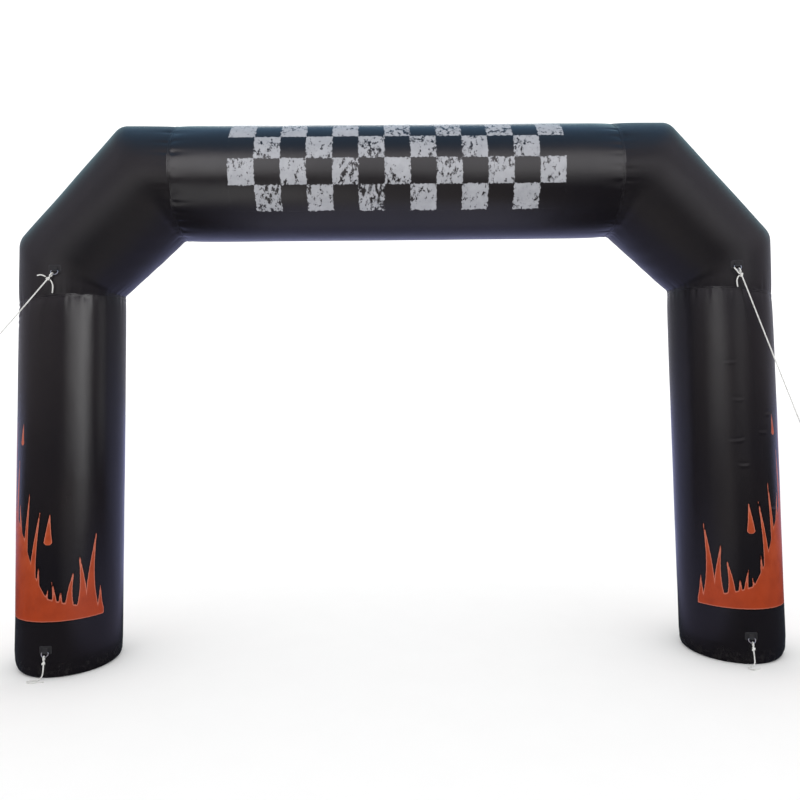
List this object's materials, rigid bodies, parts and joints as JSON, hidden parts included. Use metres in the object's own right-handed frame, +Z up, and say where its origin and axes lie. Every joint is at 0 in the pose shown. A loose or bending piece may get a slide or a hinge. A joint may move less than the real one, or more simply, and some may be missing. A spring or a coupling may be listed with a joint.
{
  "type": "inflatable arch",
  "caption": "Free-standing inflatable event arch of air-filled fabric tubes with chamfered corners, a walkway under it, sewn tie rings and white guy cords.",
  "frame": {"origin": "on the floor, midway between the two legs and midway between front and back", "axes": "+Z up, +X along the beam from the left leg to the right leg, -Y out of the printed front"},
  "size_m": [6.0064, 1.0283, 4.155],
  "materials": {
    "coated_cloth": "glossy coated black",
    "patch_cloth": "matt black",
    "webbing": "matt black woven",
    "ring_steel": "polished",
    "white_cord": "matt white braided"
  },
  "bodies": {
    "root": {"leg_left": "coated_cloth", "leg_right": "coated_cloth", "elbow_left": "coated_cloth", "elbow_right": "coated_cloth", "beam": "coated_cloth", "patch_elbow_left": "patch_cloth", "patch_elbow_right": "patch_cloth", "patch_foot_left": "patch_cloth", "patch_foot_right": "patch_cloth", "webbing_elbow_left": "webbing", "webbing_elbow_right": "webbing", "webbing_foot_left": "webbing", "webbing_foot_right": "webbing", "ring_elbow_left": "ring_steel", "ring_elbow_right": "ring_steel", "ring_foot_left": "ring_steel", "ring_foot_right": "ring_steel", "hitch_elbow_left": "white_cord", "hitch_elbow_right": "white_cord", "hitch_foot_left": "white_cord", "hitch_foot_right": "white_cord", "knot_elbow_left": "white_cord", "knot_elbow_right": "white_cord", "knot_foot_left": "white_cord", "knot_foot_right": "white_cord", "tail_left_upper": "white_cord", "tail_left_lower": "white_cord", "tail_right_upper": "white_cord", "tail_right_lower": "white_cord", "guy_left": "white_cord", "guy_right": "white_cord", "guy_knot_left": "white_cord", "guy_knot_right": "white_cord", "guy_eye_left": "white_cord", "guy_eye_right": "white_cord", "cord_foot_left": "white_cord", "cord_foot_right": "white_cord"}
  },
  "joints": []
}
